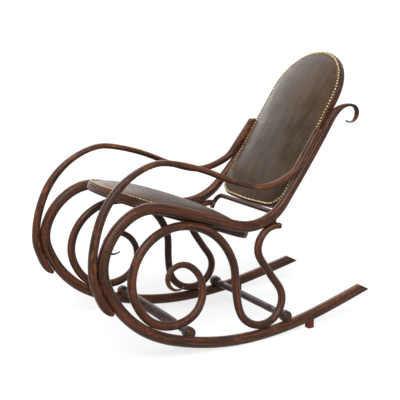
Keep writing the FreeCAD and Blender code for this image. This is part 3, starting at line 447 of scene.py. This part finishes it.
# the middle of each nail of a CAD node, in the hoop's plane
def nailMiddles(nodeName, placing):
    work = bmesh.new()
    work.from_mesh(nodes[nodeName].data)
    bmesh.ops.remove_doubles(work, verts=work.verts, dist=1e-6)
    seen, middles = set(), []
    for vertex in work.verts:
        if vertex in seen:
            continue
        waiting, reached = [vertex], {vertex}
        while waiting:
            for edge in waiting.pop().link_edges:
                fresh = [one for one in edge.verts if one not in reached]
                reached.update(fresh)
                waiting += fresh
        seen |= reached
        middle = sum((one.co for one in reached), Vector()) / len(reached)
        middles.append((placing.inverted() @ middle).to_2d())
    work.free()
    return middles


# a flat grid fitted to the hoop's outline, each vertex with its place from rim to middle
def hoopGrid(hoop, inset, cells, nails=()):
    edge = spaced(outline(hoop, inset), 4 * cells)
    edge = edge[-(cells // 2):] + edge[:-(cells // 2)]
    centre = Vector((0, hoop["middle"]))
    turns = sorted(min(range(len(edge)), key=lambda n: (edge[n] - nail).length) for nail in nails)
    work = bmesh.new()
    bmesh.ops.create_grid(work, x_segments=cells, y_segments=cells, size=1.0)
    rim = work.verts.layers.float_vector.new("rim")
    flat = work.verts.layers.float_vector.new("flat")
    shape = work.verts.layers.float_vector.new("shape")
    for vertex in work.verts:
        u, v = vertex.co.x, vertex.co.y
        reach = max(abs(u), abs(v), 1e-9)
        if v <= 1e-6 - reach:
            turn = (u / reach + 1) / 2
        elif u >= reach - 1e-6:
            turn = 1 + (v / reach + 1) / 2
        elif v >= reach - 1e-6:
            turn = 2 + (1 - u / reach) / 2
        else:
            turn = 3 + (1 - v / reach) / 2
        spot = turn * cells
        place = int(spot) % len(edge)
        following = edge[(place + 1) % len(edge)]
        outer = edge[place].lerp(following, spot - int(spot))
        ahead = (following - edge[place]).normalized()
        support = abs((outer - centre).dot(Vector((ahead.y, -ahead.x))))
        spread = centre + (outer - centre) * min(1.0, reach)
        vertex.co = (spread.x, spread.y, 0)
        passed = sum(1 for nail in turns if nail <= spot)
        phase = 0.0
        if turns:
            before = turns[passed - 1] - (len(edge) if passed == 0 else 0)
            after = turns[passed % len(turns)] + (len(edge) if passed == len(turns) else 0)
            phase = 2 * math.pi * (passed + (spot - before) / max(after - before, 1e-6))
        hold = 1.0 if turns and 1 < spot < len(edge) - 1 else 0.0
        vertex[rim] = (phase, (1 - reach) * support, hold)
        vertex[flat] = (spread.x, spread.y, 0)
        vertex[shape] = (reach, support, 0)
    return work


# how far a crown has risen at a distance from the rim, from 0 to 1
def crowned(gap, support, foot):
    if gap <= foot:
        return 0.0
    part = 1 - min(1.0, (gap - foot) / (support - foot))
    return (1 - part ** 2.6) ** 0.8


# gives the grid a flat underside, a side wall and a crowned top, and returns the top
def closedPad(work, low, edgeHigh, crown, foot):
    rim, shape = work.verts.layers.float_vector["rim"], work.verts.layers.float_vector["shape"]
    made = bmesh.ops.extrude_face_region(work, geom=work.faces[:], use_keep_orig=True)["geom"]
    top = [one for one in made if isinstance(one, bmesh.types.BMVert)]
    for vertex in work.verts:
        vertex.co.z = low
    for vertex in top:
        vertex.co.z = edgeHigh + crown * crowned(vertex[rim].y, vertex[shape].y, foot)
    bmesh.ops.recalc_face_normals(work, faces=work.faces)
    return top


# blows the pad up as cloth held at its rim and underside; no point moves further than cap
def swollen(work, top, foot, pressure, looseness, cap, frames=20):
    rim = work.verts.layers.float_vector["rim"]
    work.verts.index_update()
    free = {vertex.index for vertex in top if vertex[rim].y > foot}
    mesh = bpy.data.meshes.new("swelling")
    work.to_mesh(mesh)
    piece = bpy.data.objects.new("swelling", mesh)
    bpy.context.scene.collection.objects.link(piece)
    held = piece.vertex_groups.new(name="held")
    held.add([vertex.index for vertex in work.verts if vertex.index not in free], 1.0, "REPLACE")
    cloth = piece.modifiers.new("swelling", "CLOTH")
    settings = cloth.settings
    settings.quality = 5
    settings.mass = 0.4
    settings.tension_stiffness = 40
    settings.compression_stiffness = 40
    settings.shear_stiffness = 20
    settings.bending_stiffness = 10
    settings.shrink_min = -looseness
    settings.vertex_group_mass = "held"
    settings.use_pressure = True
    settings.uniform_pressure_force = pressure
    settings.effector_weights.gravity = 0
    cloth.collision_settings.use_collision = False
    scene = bpy.context.scene
    for number in range(1, frames + 1):
        scene.frame_set(number)
    shown = piece.evaluated_get(bpy.context.evaluated_depsgraph_get()).data
    furthest = 0.0
    for vertex, moved in zip(work.verts, shown.vertices):
        step = moved.co - vertex.co
        furthest = max(furthest, step.length)
        if step.length > cap:
            step *= cap / step.length
        vertex.co += step
    bpy.data.objects.remove(piece)
    scene.frame_set(1)
    print("swollen by up to %.1f mm" % (furthest / mm))


def softPiece(work, hoop, name, material, nodeName, wall=None, smoother=1):
    for face in work.faces:
        face.smooth = True
    work.transform(hoop["placing"])
    piece = showMesh(work, name, material)
    if wall:
        solid = piece.modifiers.new("thickness", "SOLIDIFY")
        solid.thickness, solid.offset = wall
    if smoother:
        finer = piece.modifiers.new("smooth", "SUBSURF")
        finer.levels = finer.render_levels = smoother
    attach(piece, "root")
    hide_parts(nodeName)
    return piece


# how cover and stuffing sit on a hoop, measured inwards from its edge and up from its top
fitting = {
    "coverInset": 1.5 * mm, "coverLift": 0.1 * mm,
    "flatRim": 11.5 * mm, "heldRim": 12 * mm,  # the nailed edge stays flat
    "coverCrown": 0.95,                        # share of the crown before the leather swells
    "padInset": 26 * mm, "padLift": 3.7 * mm, "padWall": 1.5 * mm, "padBelowCover": 5.4 * mm,
    "fill": 0.8, "padCells": 40,
}

# leather covers over their stuffing, blown up a little so that they pull at the nails
covers = {
    "seat": {"cells": 88, "pressure": 5.0, "looseness": 0.001, "cap": 5 * mm,
             "rubbedRim": 0.85, "warmSpot": (0.12, -0.33, 0.47)},
    "back": {"cells": 88, "pressure": 4.0, "looseness": 0.001, "cap": 5 * mm,
             "rubbedRim": 0.2, "warmSpot": (0.05, 0.33, 0.80)},
}
for name, cover in covers.items():
    hoop = hoops[name]
    nails = nailMiddles(name + "_nails", hoop["placing"])
    print(name, len(nails), "nails")
    work = hoopGrid(hoop, fitting["coverInset"], cover["cells"], nails)
    edgeLow = hoop["base"] + fitting["coverLift"]
    edgeHigh = edgeLow + hide["thickness"]
    top = closedPad(work, edgeLow, edgeHigh, fitting["coverCrown"] * hoop["crown"], fitting["flatRim"])
    swollen(work, top, fitting["heldRim"], cover["pressure"], cover["looseness"], cover["cap"])
    keep = set(top)
    bmesh.ops.delete(work, geom=[vertex for vertex in work.verts if vertex not in keep], context="VERTS")
    leather = cowhide(name + "_cowhide", cover["rubbedRim"], cover["warmSpot"])
    piece = softPiece(work, hoop, name + "_leather_cover", leather, name + "_leather",
                      wall=(hide["thickness"], -1))

    padLow = hoop["base"] + fitting["padLift"]
    work = hoopGrid(hoop, fitting["padInset"], fitting["padCells"])
    closedPad(work, padLow, padLow + fitting["padWall"], hoop["crown"] - fitting["padBelowCover"], 0.0)
    piece = softPiece(work, hoop, name + "_hair_pad", horsehair, name + "_stuffing")
print("leather and stuffing made")


def sheetSize(hoop, inset):
    points = outline(hoop, inset)
    area = sum(a.x * b.y - a.y * b.x for a, b in zip(points, points[1:] + points[:1])) / 2
    wide = 2 * max(point.x for point in points)
    long = max(point.y for point in points) - min(point.y for point in points)
    return (wide, long), area


# a sheet stretched over the hoop, drawn in or sagging towards its middle
def nailedSheet(hoop, name, inset, high, sag, thickness, material, nodeName):
    work = hoopGrid(hoop, inset, 36)
    shape = work.verts.layers.float_vector["shape"]
    for vertex in work.verts:
        reach = vertex[shape].x
        vertex.co.z = high + sag * (1 - reach ** 2) ** 1.5 if reach < 1 else high
    piece = softPiece(work, hoop, name, material, nodeName, wall=(thickness, 0))
    size, area = sheetSize(hoop, inset)


nailedSheet(hoops["seat"], "seat_hessian", 27.5 * mm, 30.1 * mm, 0.0, 0.8 * mm, hessian,
            "seat_canvas")
nailedSheet(hoops["back"], "back_hessian", 27.5 * mm, 3.1 * mm, 0.0, 0.8 * mm, hessian,
            "back_canvas")
nailedSheet(hoops["seat"], "seat_underside_cotton", 12 * mm, -0.5 * mm, -5 * mm, 0.8 * mm, blackCotton,
            "seat_dust_cloth")
liningHide = cowhide("lining_cowhide")
nailedSheet(hoops["back"], "back_lining_hide", 11 * mm, -27.2 * mm, 5 * mm, 2.2 * mm, liningHide,
            "back_lining")


# where a closed outline crosses a line at x or y = value
def span(points, axis, value):
    other = 1 - axis
    crossings = []
    for a, b in zip(points, points[1:] + points[:1]):
        if (a[axis] - value) * (b[axis] - value) <= 0 and a[axis] != b[axis]:
            part = (value - a[axis]) / (b[axis] - a[axis])
            crossings.append(a[other] + part * (b[other] - a[other]))
    return min(crossings), max(crossings)


# webbing: 50 mm jute straps that pass over and under each other
strap = {"width": 50 * mm, "thickness": 1.2 * mm, "wave": 0.65 * mm, "inset": 28.5 * mm}
for name, hoop in hoops.items():
    limit = outline(hoop, strap["inset"])
    steps = {0: 1.5 * strap["width"], 1: 1.6 * strap["width"]}
    work = bmesh.new()
    flat = work.verts.layers.float_vector.new("flat")
    for axis, count, start in ((0, hoop["uprights"], 0.0), (1, hoop["crossings"], hoop["middle"])):
        for number in range(count):
            centre = start + (number - (count - 1) / 2) * steps[axis]
            ends = [span(limit, axis, centre + part * strap["width"] / 2) for part in (-1, 1)]
            low, high = max(end[0] for end in ends), min(end[1] for end in ends)
            made = bmesh.ops.create_grid(work, x_segments=2, y_segments=72, size=0.5)["verts"]
            crossStart = hoop["middle"] if axis == 0 else 0.0
            crossCount = hoop["crossings"] if axis == 0 else hoop["uprights"]
            for vertex in made:
                across = centre + vertex.co.x * strap["width"]
                along = low + (vertex.co.y + 0.5) * (high - low)
                turn = (along - crossStart) / steps[1 - axis] + (crossCount - 1) / 2 + number + axis
                lift = strap["wave"] * math.cos(math.pi * turn)
                spot = (across, along) if axis == 0 else (along, across)
                vertex.co = (spot[0], spot[1], hoop["base"] + 1.35 * mm + lift)
                vertex[flat] = (spot[0], spot[1], 0)
    softPiece(work, hoop, name + "_jute_webbing", jute, name + "_webbing",
              wall=(strap["thickness"], 0), smoother=0)
print("cloth and webbing made")


# hoops and lower bow: flat-sawn strips bent on the flat, so the grain runs round
for name, hoop in hoops.items():
    middleHigh = hoop["base"] - hoop["high"] / 2
    ring = [hoop["placing"] @ Vector((point.x, point.y, middleHigh))
            for point in spaced(outline(hoop, hoop["width"] / 2), 480)]
    woodPiece(name + ("_ring" if name == "seat" else "_hoop"), ring + ring[:1],
              (hoop["placing"].to_3x3() @ Vector((0, 0, 1))).normalized(), polishedBeech)

low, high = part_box("lower_bow")
bow = {"radius": 8 * mm, "corner": 38 * mm, "drop": 54 * mm, "tilt": math.radians(24)}
bowHalf = high.x - bow["radius"]
bowStart = inChair(0, 157 * mm, 330 * mm)
bowRise = Vector((0, math.sin(bow["tilt"]), math.cos(bow["tilt"])))
bowTurn = [(bowHalf - bow["corner"] * (1 - math.cos(math.radians(angle))),
            bow["drop"] - bow["corner"] * (1 - math.sin(math.radians(angle)))) for angle in range(0, 91, 6)]
bowLine = ([(bowHalf, 3 * mm * step) for step in range(6)] + bowTurn
           + [(bowHalf - bow["corner"] - 3 * mm * step, bow["drop"]) for step in range(1, 50)])
bowLine += [(-across, up) for across, up in reversed(bowLine)]
woodPiece("lower_bow", [bowStart + Vector((across, 0, 0)) + bowRise * up for across, up in bowLine],
          Vector((1, 0, 0)).cross(bowRise).normalized(), polishedBeech)

for nodeName, node in nodes.items():
    for ending, finish, slotName in (("_nails", agedBrass, "brass"), ("_screws_left", dullSteel, "steel"),
                                     ("_screws_right", dullSteel, "steel")):
        if nodeName.endswith(ending):
            node.data.materials.clear()
            node.data.materials.append(finish)
print("hoops, nails and screws made")


# the rays that show the backdrop itself: straight from the camera, mirrored in metal or through glass
def backdropRays(tree):
    rays = addNode(tree, "ShaderNodeLightPath").outputs
    seen = rays["Is Camera Ray"]
    for kind in ("Is Glossy Ray", "Is Transmission Ray"):
        seen = addNode(tree, "ShaderNodeMath", {"operation": "MAXIMUM"}, {0: seen, 1: rays[kind]}).outputs[0]
    return seen


# floor, light and camera: the floor glows a little where it is seen, which keeps its shadow faint
floorFinish, floorTree, floorShader = newMaterial("white_floor")
floorShader.inputs["Roughness"].default_value = 1.0
floorShader.inputs["Specular IOR Level"].default_value = 0.0
floorShader.inputs["Emission Color"].default_value = (1, 1, 1, 1)
seen = backdropRays(floorTree)
paint = addNode(floorTree, "ShaderNodeMix", {"data_type": "RGBA"}, {
    0: seen, 6: (0.08, 0.075, 0.07, 1), 7: (0.40, 0.40, 0.40, 1)})
floorTree.links.new(paint.outputs[2], floorShader.inputs["Base Color"])
glow = addNode(floorTree, "ShaderNodeMath", {"operation": "MULTIPLY"}, {0: seen, 1: 0.72})
floorTree.links.new(glow.outputs[0], floorShader.inputs["Emission Strength"])
work = bmesh.new()
bmesh.ops.create_grid(work, x_segments=1, y_segments=1, size=30)
bmesh.ops.translate(work, verts=work.verts, vec=(0, 0, -0.0003))
floor = showMesh(work, "floor", floorFinish)

world = bpy.data.worlds.new("studio")
bpy.context.scene.world = world
world.use_nodes = True
skyTree = world.node_tree
skyTree.nodes.clear()
skyTint = addNode(skyTree, "ShaderNodeMix", {"data_type": "RGBA"}, {
    0: backdropRays(skyTree), 6: (0.18, 0.17, 0.16, 1), 7: (1, 1, 1, 1)}).outputs[2]
background = addNode(skyTree, "ShaderNodeBackground", inputs={"Color": skyTint, "Strength": 1.0})
skyTree.links.new(background.outputs[0], addNode(skyTree, "ShaderNodeOutputWorld").inputs[0])

for lampName, towards, strength, softness in (("front", (0.85, -0.5, 0.9), 2.9, 40),
                                              ("window", (-1.0, 0.1, 0.5), 1.5, 55)):
    lamp = bpy.data.lights.new(lampName, "SUN")
    lamp.energy = strength
    lamp.angle = math.radians(softness)
    holder = bpy.data.objects.new(lampName, lamp)
    holder.rotation_euler = Vector(towards).to_track_quat("Z", "Y").to_euler()
    bpy.context.scene.collection.objects.link(holder)

viewpoint = {"from": (2.3030, -1.3587, 0.9764), "at": (0, -0.0290, 0.4262), "lens": 74.07}
lens = bpy.data.cameras.new("camera")
lens.lens = viewpoint["lens"]
lens.sensor_width = 36
camera = bpy.data.objects.new("camera", lens)
camera.location = viewpoint["from"]
aim = Vector(viewpoint["at"]) - camera.location
camera.rotation_euler = aim.to_track_quat("-Z", "Y").to_euler()
bpy.context.scene.collection.objects.link(camera)
bpy.context.scene.camera = camera
bpy.context.scene.view_settings.view_transform = "Standard"

print("scene made")
